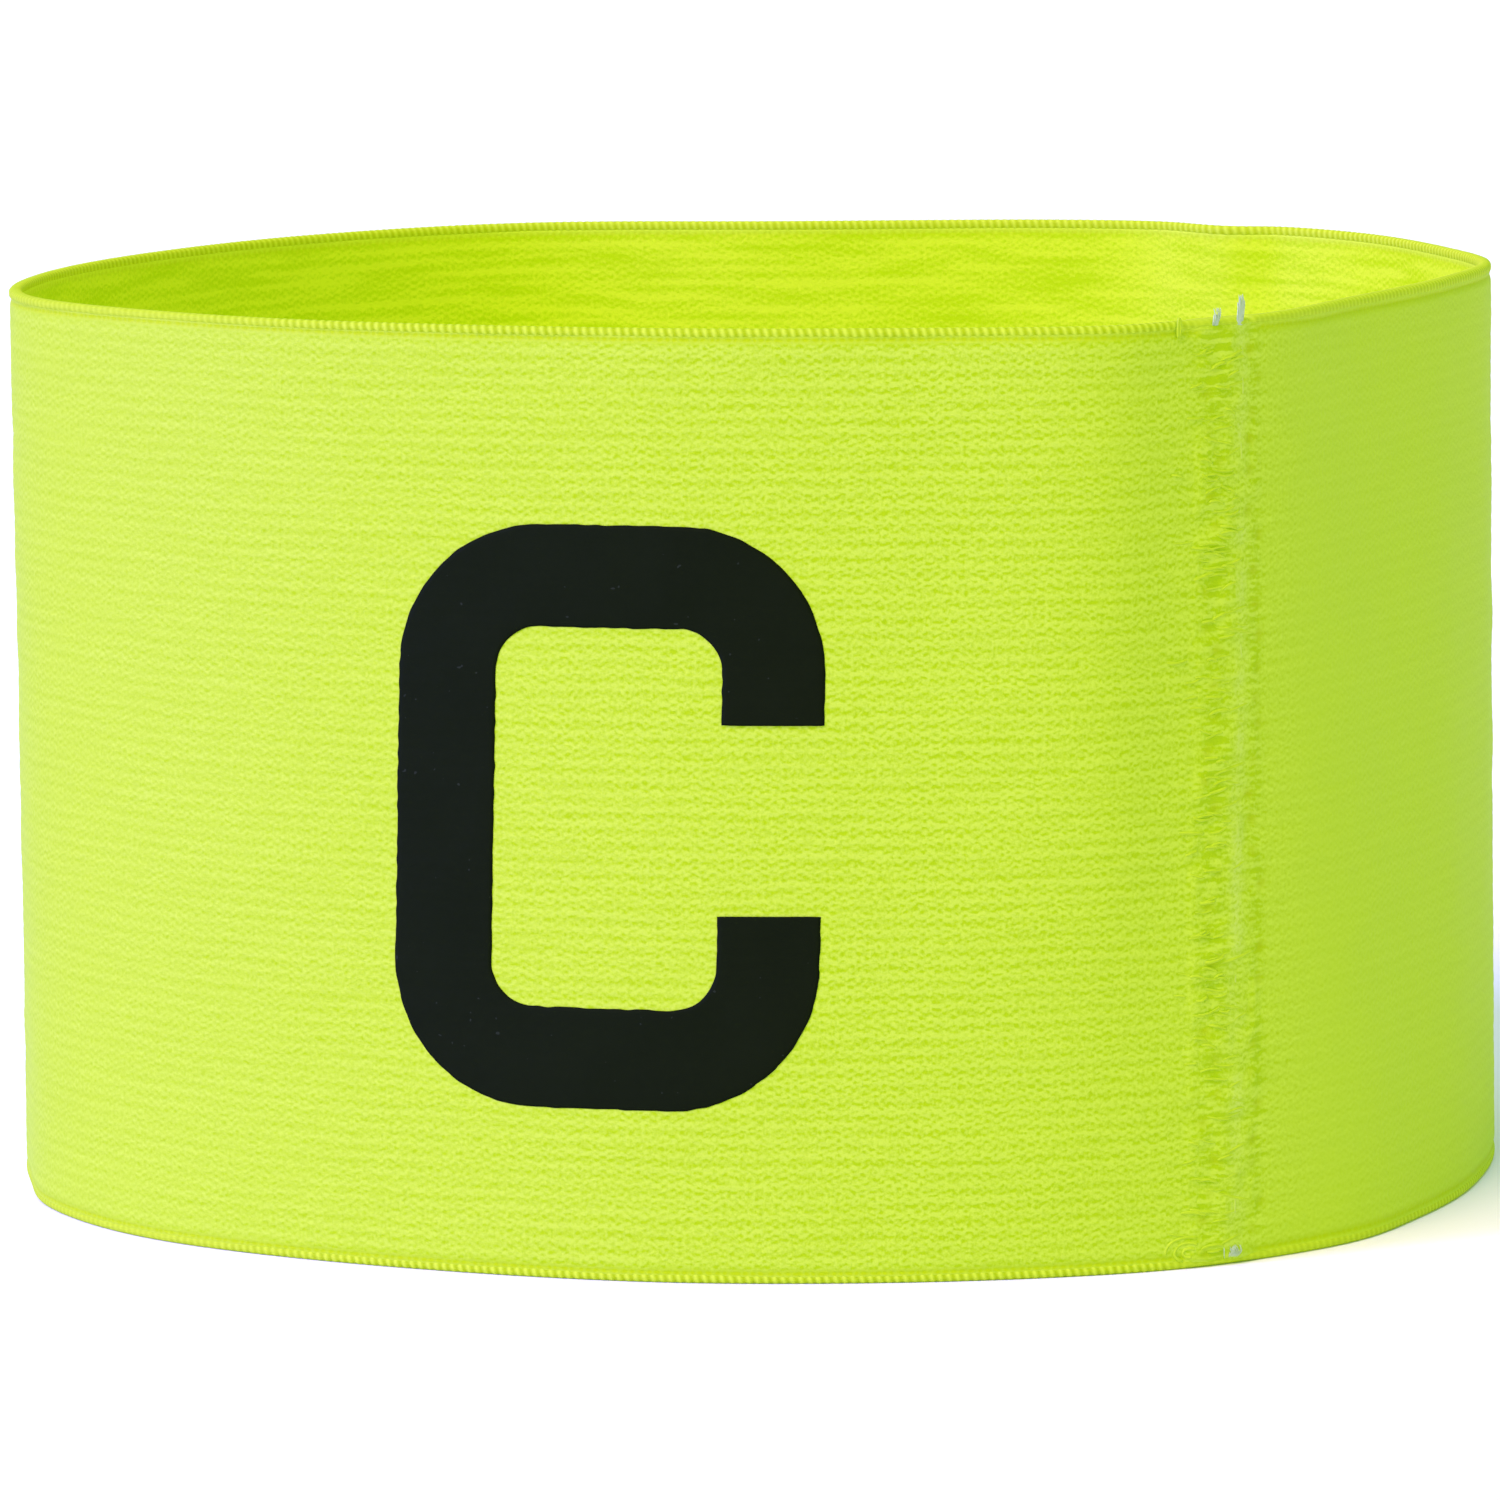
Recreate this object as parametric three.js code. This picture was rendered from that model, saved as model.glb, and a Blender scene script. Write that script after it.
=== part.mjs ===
// A captain's armband standing on its lower edge. It is one wide strip of knitted elastic, bent round
// into a loop and sewn to itself where its two ends lap, with a black letter C pressed on its front.
// Millimetres, +Z up, the front of the band towards -Y, the origin on the floor under its middle.
import * as THREE from "three";

// The strip, and the loop that it stands in
const stripWidth = 75;
const loopWidth = 123.8;
const loopDepth = 98.2;
const wall = 1.5;

// The edges of the strip: a round bead that a shallow groove sets off
const beadHeight = 0.85;
const beadRound = 0.25;
const grooveDepth = 0.25;
const grooveHeight = 0.6;

// The lap: the strip's other end lies inside, pressed thinner by the sewing
const lapWidth = 6;
const lapLayer = 1.1;
const lapSwell = 0.3;
const cutSlope = 0.3;

// The letter, a film pressed on the elastic
const letterWidth = 34;
const letterHeight = 46;
const letterStroke = 8;
const letterCorner = 11.5;
const letterMouth = 15;
const letterMiddle = 36.7;
const seamToLetter = 50;
const filmThickness = 0.25;
const filmGap = 0.25;

// How finely the curves are stepped
const columnsAround = 142;
const bodyRows = [0.25, 0.5, 0.75];
const letterSteps = 56;
const strokeSteps = 3;

// The loop's bends, from the seam round by the right, the back and the left, as seen from above with the
// front at the bottom. x is a share of half the loop's width and y of half its depth, at the rim and at
// the foot of the outer face. The right front is a nearly flat panel that turns sharply beside the seam
// and is rounder at the foot, and the back has a small dent at its rim.
const bends = [
  { place: "seam", rimX: 0.59, rimY: -0.84, footX: 0.585, footY: -0.87 },
  { place: "panel corner", rimX: 0.665, rimY: -0.745, footX: 0.765, footY: -0.705 },
  { place: "panel", rimX: 0.765, rimY: -0.525, footX: 0.86, footY: -0.525 },
  { place: "panel end", rimX: 0.91, rimY: -0.185, footX: 0.945, footY: -0.29 },
  { place: "right tip", rimX: 0.99, rimY: 0.125, footX: 1.0, footY: 0.06 },
  { place: "right back", rimX: 0.95, rimY: 0.395, footX: 0.96, footY: 0.375 },
  { place: "right back turn", rimX: 0.86, rimY: 0.66, footX: 0.865, footY: 0.66 },
  { place: "back shoulder", rimX: 0.75, rimY: 0.805, footX: 0.75, footY: 0.825 },
  { place: "dent", rimX: 0.665, rimY: 0.835, footX: 0.665, footY: 0.89 },
  { place: "dent end", rimX: 0.58, rimY: 0.93, footX: 0.58, footY: 0.95 },
  { place: "back right", rimX: 0.42, rimY: 0.98, footX: 0.42, footY: 0.99 },
  { place: "back middle", rimX: 0.045, rimY: 0.975, footX: 0.045, footY: 0.995 },
  { place: "back left", rimX: -0.34, rimY: 0.965, footX: -0.34, footY: 0.975 },
  { place: "left back turn", rimX: -0.645, rimY: 0.725, footX: -0.655, footY: 0.75 },
  { place: "left back", rimX: -0.86, rimY: 0.365, footX: -0.885, footY: 0.405 },
  { place: "left side", rimX: -0.96, rimY: 0.05, footX: -0.995, footY: 0.06 },
  { place: "left tip", rimX: -0.985, rimY: -0.25, footX: -0.98, footY: -0.21 },
  { place: "left front", rimX: -0.94, rimY: -0.43, footX: -0.945, footY: -0.39 },
  { place: "left front turn", rimX: -0.8, rimY: -0.625, footX: -0.82, footY: -0.61 },
  { place: "front left", rimX: -0.565, rimY: -0.82, footX: -0.585, footY: -0.8 },
  { place: "front", rimX: -0.14, rimY: -0.975, footX: -0.17, footY: -0.975 },
  { place: "front middle", rimX: 0.185, rimY: -0.995, footX: 0.165, footY: -0.995 },
  { place: "crease", rimX: 0.435, rimY: -0.96, footX: 0.445, footY: -0.94 },
];

// A smooth closed curve through the bends, taken from two columns of their table
function loopThrough(xColumn, yColumn) {
  const points = bends.map(
    (bend) => new THREE.Vector3((bend[xColumn] * loopWidth) / 2, (bend[yColumn] * loopDepth) / 2, 0),
  );
  const loop = new THREE.CatmullRomCurve3(points, true, "centripetal");
  loop.arcLengthDivisions = 2000;
  return loop;
}

const rimLoop = loopThrough("rimX", "rimY");
const footLoop = loopThrough("footX", "footY");
const loopLength = (rimLoop.getLength() + footLoop.getLength()) / 2;

// A point of the wall: along is the distance round the loop from the middle of the seam, z the height,
// and depth how far inside the outer face it lies
function wallPoint(along, z, depth) {
  const share = THREE.MathUtils.euclideanModulo(along / loopLength, 1);
  const up = z / stripWidth;
  const point = footLoop.getPointAt(share).lerp(rimLoop.getPointAt(share), up);
  const forward = footLoop.getTangentAt(share).lerp(rimLoop.getTangentAt(share), up).normalize();
  const inward = new THREE.Vector3(-forward.y, forward.x, 0);
  return point.addScaledVector(inward, depth).setZ(z);
}

// The outer face of the strip from its foot up: each edge's bead and groove, and the plain knit between
function outerSide() {
  const edge = [
    { z: 0, depth: beadRound },
    { z: beadRound, depth: 0 },
    { z: beadHeight, depth: 0 },
    { z: beadHeight + grooveHeight / 2, depth: grooveDepth },
    { z: beadHeight + grooveHeight, depth: 0 },
  ];
  const body = bodyRows.map((share) => ({ z: share * stripWidth, depth: 0 }));
  const upperEdge = edge.map((row) => ({ z: stripWidth - row.z, depth: row.depth })).reverse();
  return [...edge, ...body, ...upperEdge];
}

// The closed section of the strip: up the outer side and down the inner one
function stripSection(thickness, swell) {
  const outer = outerSide();
  const inner = outer.map((row) => ({ z: row.z, depth: thickness - row.depth })).reverse();
  return [...outer.map((row) => ({ z: row.z, depth: row.depth - swell })), ...inner];
}

// The columns round the loop, with the lap's two layers between its cut ends
function stripColumns() {
  const halfLap = lapWidth / 2;
  const lapped = wall + lapLayer;
  const columns = [
    { along: -halfLap, thickness: lapped, swell: 0 },
    { along: -halfLap / 2, thickness: lapped, swell: lapSwell },
    { along: halfLap / 2, thickness: lapped, swell: lapSwell },
    { along: halfLap, thickness: lapped, swell: 0 },
  ];
  const start = halfLap + cutSlope;
  const step = (loopLength - 2 * start) / columnsAround;
  for (let k = 0; k <= columnsAround; k += 1) {
    columns.push({ along: start + k * step, thickness: wall, swell: 0 });
  }
  return columns;
}

// The two triangles of a four-cornered face
const fourSided = (a, b, c, d) => [a, b, c, a, c, d];

// A mesh from a list of points and a list of corner numbers
function meshOf(name, points, corners, material) {
  const geometry = new THREE.BufferGeometry().setFromPoints(points);
  geometry.setIndex(corners);
  geometry.computeVertexNormals();
  const mesh = new THREE.Mesh(geometry, material);
  mesh.name = name;
  return mesh;
}

function elasticBand(material) {
  const columns = stripColumns();
  const points = columns.flatMap(({ along, thickness, swell }) =>
    stripSection(thickness, swell).map((row) => wallPoint(along, row.z, row.depth)),
  );
  const rows = points.length / columns.length;
  const corners = [];
  for (let column = 0; column < columns.length; column += 1) {
    const here = column * rows;
    const next = ((column + 1) % columns.length) * rows;
    for (let row = 0; row < rows; row += 1) {
      const above = (row + 1) % rows;
      corners.push(...fourSided(here + row, next + row, next + above, here + above));
    }
  }
  return meshOf("elastic_band", points, corners, material);
}

// The middle line of the letter's stroke, in the plane of the flat strip, round the letter's middle:
// from the upper end of the mouth round by the back to its lower end
function letterLine() {
  const side = (letterWidth - letterStroke) / 2;
  const top = (letterHeight - letterStroke) / 2;
  const turn = letterCorner - letterStroke / 2;
  const quarter = Math.PI / 2;
  const line = new THREE.Path();
  line.moveTo(side, letterMouth / 2);
  line.lineTo(side, top - turn);
  line.absarc(side - turn, top - turn, turn, 0, quarter, false);
  line.lineTo(turn - side, top);
  line.absarc(turn - side, top - turn, turn, quarter, 2 * quarter, false);
  line.lineTo(-side, turn - top);
  line.absarc(turn - side, turn - top, turn, 2 * quarter, 3 * quarter, false);
  line.lineTo(side - turn, -top);
  line.absarc(side - turn, turn - top, turn, 3 * quarter, 4 * quarter, false);
  line.lineTo(side, -letterMouth / 2);
  return line;
}

function printedLetter(material) {
  const line = letterLine();
  const across = strokeSteps + 1;
  const points = [];
  for (let k = 0; k <= letterSteps; k += 1) {
    const middle = line.getPointAt(k / letterSteps);
    const forward = line.getTangentAt(k / letterSteps);
    const filmPoint = (i, depth) => {
      const side = (i / strokeSteps - 0.5) * letterStroke;
      const x = middle.x - forward.y * side;
      const z = middle.y + forward.x * side;
      return wallPoint(x - seamToLetter, letterMiddle + z, depth);
    };
    for (let i = 0; i < across; i += 1) points.push(filmPoint(i, -filmGap - filmThickness));
    for (let i = across - 1; i >= 0; i -= 1) points.push(filmPoint(i, -filmGap));
  }
  const rows = 2 * across;
  const corners = [];
  for (let k = 0; k < letterSteps; k += 1) {
    const here = k * rows;
    const next = here + rows;
    for (let row = 0; row < rows; row += 1) {
      const after = (row + 1) % rows;
      corners.push(...fourSided(here + row, next + row, next + after, here + after));
    }
  }
  const last = letterSteps * rows;
  for (let i = 0; i < strokeSteps; i += 1) {
    const opposite = rows - 1 - i;
    corners.push(...fourSided(i, i + 1, opposite - 1, opposite));
    corners.push(...fourSided(last + opposite, last + opposite - 1, last + i + 1, last + i));
  }
  return meshOf("printed_letter", points, corners, material);
}

const elastic = new THREE.MeshStandardMaterial({ color: 0xc8ec4c, roughness: 0.9, metalness: 0 });
const film = new THREE.MeshStandardMaterial({ color: 0x1c231b, roughness: 0.6, metalness: 0 });

const armband = new THREE.Group();
armband.name = "captain_armband";
armband.add(elasticBand(elastic), printedLetter(film));

// The band's own middle stands over the origin
const middle = new THREE.Box3().setFromObject(armband).getCenter(new THREE.Vector3());
armband.position.set(-middle.x, -middle.y, 0);

export default armband;
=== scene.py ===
# Dresses a captain's armband: one wide strip of knitted elastic, sewn to itself where its ends lap, that
# stands on its lower edge with a plain letter C pressed on its front.
# Metres, +Z up, the front towards -Y. "Along" is the distance round the loop from the middle of the
# seam, counterclockwise as seen from above, so that it grows to the right on the front.
import math
from collections import namedtuple

import bpy
import numpy as np
from mathutils import Matrix, Vector


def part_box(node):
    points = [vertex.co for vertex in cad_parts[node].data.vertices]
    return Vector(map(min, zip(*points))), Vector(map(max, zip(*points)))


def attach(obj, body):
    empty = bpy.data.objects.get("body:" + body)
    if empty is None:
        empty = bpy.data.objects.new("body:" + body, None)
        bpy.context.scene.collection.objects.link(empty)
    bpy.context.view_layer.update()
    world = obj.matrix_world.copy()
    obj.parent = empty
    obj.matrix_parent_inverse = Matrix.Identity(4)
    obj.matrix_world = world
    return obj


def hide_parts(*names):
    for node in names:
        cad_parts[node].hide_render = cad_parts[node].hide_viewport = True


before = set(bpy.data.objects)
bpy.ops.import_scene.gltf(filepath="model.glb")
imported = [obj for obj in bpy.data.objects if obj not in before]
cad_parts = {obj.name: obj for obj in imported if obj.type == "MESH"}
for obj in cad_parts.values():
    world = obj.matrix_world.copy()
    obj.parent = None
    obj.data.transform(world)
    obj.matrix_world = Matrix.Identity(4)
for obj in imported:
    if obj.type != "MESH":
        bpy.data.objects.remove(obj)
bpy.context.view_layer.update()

MM = 0.001

# The strip, and the loop that it stands in
STRIP_WIDTH = 75 * MM
LOOP_WIDTH = 123.8 * MM
LOOP_DEPTH = 98.2 * MM
WALL = 1.0 * MM

# The edges: a corded bead with slanted ribs, a shallow groove, and a smooth stripe before the knit
BEAD_HEIGHT = 0.72 * MM
BEAD_SWELL = 0.03 * MM
RIB_PITCH = 0.68 * MM
RIB_RELIEF = 0.05 * MM
RIB_TWIST = 1
BEAD_TUCK = 0.2 * MM
GROOVE_MIDDLE = 0.84 * MM
GROOVE_WIDTH = 0.28 * MM
GROOVE_DEPTH = 0.11 * MM
EDGE_LEVELS = np.array([0.25, 0.5, 0.65, 0.78, 0.9, 1.02, 1.14]) * MM
STRIPE_END = 1.25 * MM

# The knit: its courses run round the loop, and its wales up the strip
COURSES = 61
COURSE_PITCH = (STRIP_WIDTH - 2 * STRIPE_END) / COURSES
COURSE_RELIEF = 0.06 * MM
COURSE_WANDER = 0.16 * MM
WALE_PITCH = 0.68 * MM
LUMP_RELIEF = 0.05 * MM
CREASE_PLACE = -10.7 * MM
CREASE_REACH = 6 * MM
CREASE_RELIEF = 0.5 * MM

# The lap, where the strip's two ends lie on each other, and the zigzag that holds them
LAP_WIDTH = 6 * MM
LAP_LAYER = 0.9 * MM
LAP_SWELL = 0.28 * MM
CUT_SLOPE = 0.35 * MM
ZIGZAG_WIDTH = 4.4 * MM
ZIGZAG_STEP = 1.25 * MM
ZIGZAG_THREAD = 0.18 * MM
ZIGZAG_MIDDLE_FOOT = 1.1 * MM
ZIGZAG_MIDDLE_RIM = 0.4 * MM
NEEDLE_HOLE = 0.36 * MM
NEEDLE_DEPTH = 0.11 * MM
STITCH = 2.6 * MM
STITCH_THREAD = 0.12 * MM
STITCH_LINE_FOOT = 0.95 * MM
STITCH_LINE_RIM = 1.4 * MM
PALE_WIDTH = 0.7 * MM
PULLED_STRANDS = 150
NOTCH_PLACE = 2.3 * MM
NOTCH_WIDTH = 0.4 * MM
NOTCH_DEPTH = 0.22 * MM

# The letter, a thin film pressed on the knit
LETTER_WIDTH = 34 * MM
LETTER_HEIGHT = 46 * MM
LETTER_STROKE = 8 * MM
LETTER_CORNER = 11.5 * MM
LETTER_MOUTH = 15 * MM
LETTER_MIDDLE = 36.7 * MM
SEAM_TO_LETTER = 50 * MM
FILM_THICKNESS = 0.11 * MM
FILM_RAGGED = 0.055 * MM

# How finely the pieces are stepped
COLUMNS_AROUND = 292
LAP_COLUMNS = 40
RIB_COLUMNS = 5
BEAD_SIDES = 14
THREAD_SIDES = 6
FILM_STATIONS = 420
FILM_ACROSS = 25

# The camera: a long lens a little above the band's middle, in front of it
EYE = Vector((-0.7, -661.3, 136.4)) * MM
AIM = Vector((-0.9, 0.2, 34.8)) * MM
CAMERA_ROLL = math.radians(0.279)
LENS_MM = 192.0
SENSOR_MM = 36

# The light: a slanting sun from the front left, a high one, a bluish box at the left and a soft sky.
# The glows are painted light: a steady glow for the fluorescent dye on the outer face, stronger on the
# inner.
PAINTED_GLOW = (0.057, 0.102, 0.0, 1)
PAINTED_INNER_GLOW = (0.125, 0.13, 0.0, 1)
PAINTED_PALE_GLOW = (0.03, 0.04, 0.01, 1)
SKY_DIM = (0.33, 0.49, 0.20)
SKY_BRIGHT = (0.79, 0.94, 0.66)
SKY_BRIGHT_WAY = (-0.8, -0.35, 0.45)
Sun = namedtuple("Sun", "name toward angle colour")
SUNS = [
    Sun("high_sun", (0, 0, 1), 25, (0.25, 0.2, 1.1)),
    Sun("slanting_sun", (-0.45, -0.55, 0.85), 30, (2.05, 1.35, 1.0)),
]
LEFT_BOX_PLACE = (-1.8, -0.7, 0.7)
LEFT_BOX_SIZE = 0.8
LEFT_BOX_COLOUR = (3.8, 1.2, 88)
FLOOR_REACH = 12.0

# Base colours in linear light. Tones hold the darkest and the lightest that a material shows.
Tones = namedtuple("Tones", "dark light")
# The knit's dark tone is painted shade in its pits, its light tone a painted highlight on its bumps.
OUTER_KNIT = Tones((0.36, 0.535, 0.0, 1), (0.50, 0.66, 0.047, 1))
# The inner face's knit tones are painted light, lighter than the outer face's to light the inside of the
# loop.
LIT_INNER_KNIT = Tones((0.42, 0.65, 0.0, 1), (0.60, 0.77, 0.02, 1))
OUTER_STRIPE = (0.49, 0.64, 0.055, 1)
# The inner stripe is painted lighter than the outer one in the same way.
LIT_INNER_STRIPE = (0.61, 0.77, 0.05, 1)
# Painted shade in the groove below the bead.
GROOVE_SHADE = (0.41, 0.55, 0.0, 1)
# Painted shade in the needle holes.
HOLE_SHADE_COLOUR = (0.365, 0.49, 0.0, 1)
STITCHED_COLOUR = (0.52, 0.655, 0.11, 1)
# The bead's dark tone is painted shade between its ribs, its light tone a painted highlight on them.
BEAD = Tones((0.34, 0.47, 0.0, 1), (0.535, 0.68, 0.036, 1))
# Painted shade under the lower bead.
BEAD_UNDERSIDE_SHADE = (0.25, 0.3, 0.01, 1)
YELLOW_THREAD = Tones((0.36, 0.53, 0.0, 1), (0.51, 0.66, 0.02, 1))
PALE_THREAD = Tones((0.44, 0.58, 0.05, 1), (0.51, 0.65, 0.10, 1))
CUT_THREAD = Tones((0.40, 0.54, 0.26, 1), (0.52, 0.65, 0.42, 1))
FILM = Tones((0.0053, 0.0090, 0.0019, 1), (0.0072, 0.0117, 0.0027, 1))
SPECK_COLOUR = (0.07, 0.09, 0.06, 1)
FLOOR = Tones((0.9, 0.9, 0.9, 1), (0.93, 0.93, 0.93, 1))

# Amounts that change round the loop, each at its place in millimetres from the seam: how calm the knit
# looks, how pale the outer stripe is, how plainly the bead's ribs stand out, and how much taller the edge is
CALM = {-150: 0.6, -100: 0.65, -65: 0.42, -25: 0.05, -8: 0.2, 1: 0.15, 5: 0.55, 10: 0.8, 40: 0.82, 70: 0.8}
PALE_STRIPE = {-150: 0.6, -120: 1.0, -15: 1.0, -2: 0.1, 60: 0.1, 120: 0.6}
RIBS = {-150: 0.8, -90: 0.25, -68: 1.0, -6: 1.0, -3: 0.15, 3: 0.3, 30: 0.6, 60: 0.8, 100: 0.8}
TALLER_EDGE = {-150: 1.28, -90: 1, -20: 1, -4: 1.1, 3: 1.1, 12: 1.28}

# The loop's bends, from the seam round by the right, the back and the left. x is a share of half the
# loop's width and y of half its depth, at the rim and at the foot of the outer face.
Bend = namedtuple("Bend", "place rim_x rim_y foot_x foot_y")
BENDS = [
    Bend("seam", 0.59, -0.84, 0.585, -0.87),
    Bend("panel corner", 0.665, -0.745, 0.765, -0.705),
    Bend("panel", 0.765, -0.525, 0.86, -0.525),
    Bend("panel end", 0.91, -0.185, 0.945, -0.29),
    Bend("right tip", 0.99, 0.125, 1.0, 0.06),
    Bend("right back", 0.95, 0.395, 0.96, 0.375),
    Bend("right back turn", 0.86, 0.66, 0.865, 0.66),
    Bend("back shoulder", 0.75, 0.805, 0.75, 0.825),
    Bend("dent", 0.665, 0.835, 0.665, 0.89),
    Bend("dent end", 0.58, 0.93, 0.58, 0.95),
    Bend("back right", 0.42, 0.98, 0.42, 0.99),
    Bend("back middle", 0.045, 0.975, 0.045, 0.995),
    Bend("back left", -0.34, 0.965, -0.34, 0.975),
    Bend("left back turn", -0.645, 0.725, -0.655, 0.75),
    Bend("left back", -0.86, 0.365, -0.885, 0.405),
    Bend("left side", -0.96, 0.05, -0.995, 0.06),
    Bend("left tip", -0.985, -0.25, -0.98, -0.21),
    Bend("left front", -0.94, -0.43, -0.945, -0.39),
    Bend("left front turn", -0.8, -0.625, -0.82, -0.61),
    Bend("front left", -0.565, -0.82, -0.585, -0.8),
    Bend("front", -0.14, -0.975, -0.17, -0.975),
    Bend("front middle", 0.185, -0.995, 0.165, -0.995),
    Bend("crease", 0.435, -0.96, 0.445, -0.94),
]


class Loop:
    """A closed centripetal Catmull-Rom curve through the bends, read by share of its length."""

    steps_between_bends = 80

    def __init__(self, xs, ys):
        points = np.column_stack([np.array(xs) * LOOP_WIDTH / 2, np.array(ys) * LOOP_DEPTH / 2])
        spans = [self.span(points, i) for i in range(len(points))]
        self.path = np.vstack([*spans, spans[0][:1]])
        steps = np.linalg.norm(np.diff(self.path, axis=0), axis=1)
        self.reach = np.concatenate([[0], np.cumsum(steps)])
        self.length = self.reach[-1]

    def span(self, points, i):
        before, start, end, after = (points[(i + k) % len(points)] for k in (-1, 0, 1, 2))
        pairs = ((before, start), (start, end), (end, after))
        gap_before, gap, gap_after = (np.linalg.norm(b - a) ** 0.5 for a, b in pairs)
        chord = (end - start) / gap
        leave = ((start - before) / gap_before - (end - before) / (gap_before + gap) + chord) * gap
        arrive = (chord - (after - start) / (gap + gap_after) + (after - end) / gap_after) * gap
        t = np.linspace(0, 1, self.steps_between_bends, endpoint=False)[:, None]
        ends = (2 * t**3 - 3 * t**2 + 1) * start + (3 * t**2 - 2 * t**3) * end
        return ends + (t**3 - 2 * t**2 + t) * leave + (t**3 - t**2) * arrive

    def at(self, share):
        distance = np.mod(share, 1.0) * self.length
        return np.stack([np.interp(distance, self.reach, self.path[:, k]) for k in (0, 1)], axis=-1)

    def forward(self, share):
        ahead = self.at(share + 0.0004) - self.at(share - 0.0004)
        return ahead / np.linalg.norm(ahead, axis=-1, keepdims=True)


rim_loop = Loop([bend.rim_x for bend in BENDS], [bend.rim_y for bend in BENDS])
foot_loop = Loop([bend.foot_x for bend in BENDS], [bend.foot_y for bend in BENDS])
loop_length = (rim_loop.length + foot_loop.length) / 2

# The solid's own middle says where the loop stands
both_loops = np.vstack([rim_loop.path, foot_loop.path])
cad_low, cad_high = (np.array(corner)[:2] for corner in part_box("elastic_band"))
loop_shift = (cad_low + cad_high) / 2 - (both_loops.min(axis=0) + both_loops.max(axis=0)) / 2


def wall_points(along, z, depth):
    """Points of the wall: depth is how far inside the outer face they lie."""
    along, z, depth = np.broadcast_arrays(along, z, depth)
    share = along / loop_length
    up = (z / STRIP_WIDTH)[..., None]
    place = foot_loop.at(share) * (1 - up) + rim_loop.at(share) * up + loop_shift
    forward = foot_loop.forward(share) * (1 - up) + rim_loop.forward(share) * up
    forward /= np.linalg.norm(forward, axis=-1, keepdims=True)
    inward = np.stack([-forward[..., 1], forward[..., 0]], axis=-1)
    return np.concatenate([place + inward * depth[..., None], z[..., None]], axis=-1)


def patchy(along, z, grain_along, grain_up, seed):
    """Smooth noise from -1 to 1 over the strip, which joins up with itself round the loop."""
    across = max(2, round(loop_length / grain_along))
    rows = int(STRIP_WIDTH / grain_up) + 3
    grid = np.random.default_rng(seed).uniform(-1, 1, (rows, across))
    u = np.mod(along / loop_length, 1.0) * across
    v = np.clip(z, 0, STRIP_WIDTH) / grain_up
    column, row = np.floor(u).astype(int), np.floor(v).astype(int)
    right, above = u - column, v - row
    right, above = (t * t * (3 - 2 * t) for t in (right, above))
    low = grid[row, column % across] * (1 - right) + grid[row, (column + 1) % across] * right
    high = grid[row + 1, column % across] * (1 - right) + grid[row + 1, (column + 1) % across] * right
    return low * (1 - above) + high * above


def from_seam(along):
    """The distance along the loop from the middle of the seam, negative to its left."""
    return np.mod(along + loop_length / 2, loop_length) - loop_length / 2


def round_loop(amounts, along):
    """An amount that changes round the loop, from its table."""
    return np.interp(from_seam(along), np.array(list(amounts)) * MM, list(amounts.values()))


def smooth_step(value, start, end):
    t = np.clip((value - start) / (end - start), 0, 1)
    return t * t * (3 - 2 * t)


def seam_share(along):
    """1 over the lap, fading to 0 beside it."""
    return 1 - smooth_step(np.abs(from_seam(along)), LAP_WIDTH / 2 - 0.3 * MM, LAP_WIDTH / 2 + 0.7 * MM)


def edge_distance(z):
    return np.minimum(z, STRIP_WIDTH - z)


def drift(z, at_foot, at_rim):
    """A place across the lap that moves evenly from foot to rim."""
    return at_foot + (at_rim - at_foot) * z / STRIP_WIDTH


# Where the zigzag's needle went in: left and right of its middle by turns, up the strip
seam_draw = np.random.default_rng(11)
needle_count = int((STRIP_WIDTH - 2 * BEAD_HEIGHT) / ZIGZAG_STEP)
needle_z = BEAD_HEIGHT + ZIGZAG_STEP * (np.arange(needle_count) + 0.5)
needle_z = needle_z + seam_draw.uniform(-0.35, 0.35, needle_count) * MM
needle_side = np.where(np.arange(needle_count) % 2 == 0, -0.5, 0.5)
needle_along = drift(needle_z, ZIGZAG_MIDDLE_FOOT, ZIGZAG_MIDDLE_RIM) + needle_side * ZIGZAG_WIDTH
needle_along = needle_along + seam_draw.uniform(-0.7, 0.7, needle_count) * MM
needle_pull = seam_draw.uniform(0.3, 1.0, needle_count)


def needle_holes(along, z):
    """How deep the needle holes' dimples are here, from 0 to about 1."""
    beside = from_seam(along)
    total = np.zeros(np.broadcast(along, z).shape)
    for hole_along, hole_z, pull in zip(needle_along, needle_z, needle_pull):
        far = ((beside - hole_along) / (NEEDLE_HOLE * 1.3)) ** 2 + ((z - hole_z) / NEEDLE_HOLE) ** 2
        total += pull * np.exp(-far)
    return total


def course_ridge(z):
    """0 in the valley between two courses of knit and 1 on the broad back of each."""
    phase = np.mod((z - STRIPE_END) / COURSE_PITCH, 1.0)
    return np.interp(phase, [0, 0.3, 0.7, 1], [0, 1, 0.9, 0])


def wander(along, z):
    """How far a course strays up or down from its level."""
    stray = 0.6 * patchy(along, z, 5.5 * MM, 4 * MM, 21) + 0.4 * patchy(along, z, 1.9 * MM, 2.6 * MM, 22)
    puckered = 1 + 1.2 * seam_share(along)
    return COURSE_WANDER * stray * puckered * smooth_step(edge_distance(z), STRIPE_END, STRIPE_END + 2 * MM)


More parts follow.
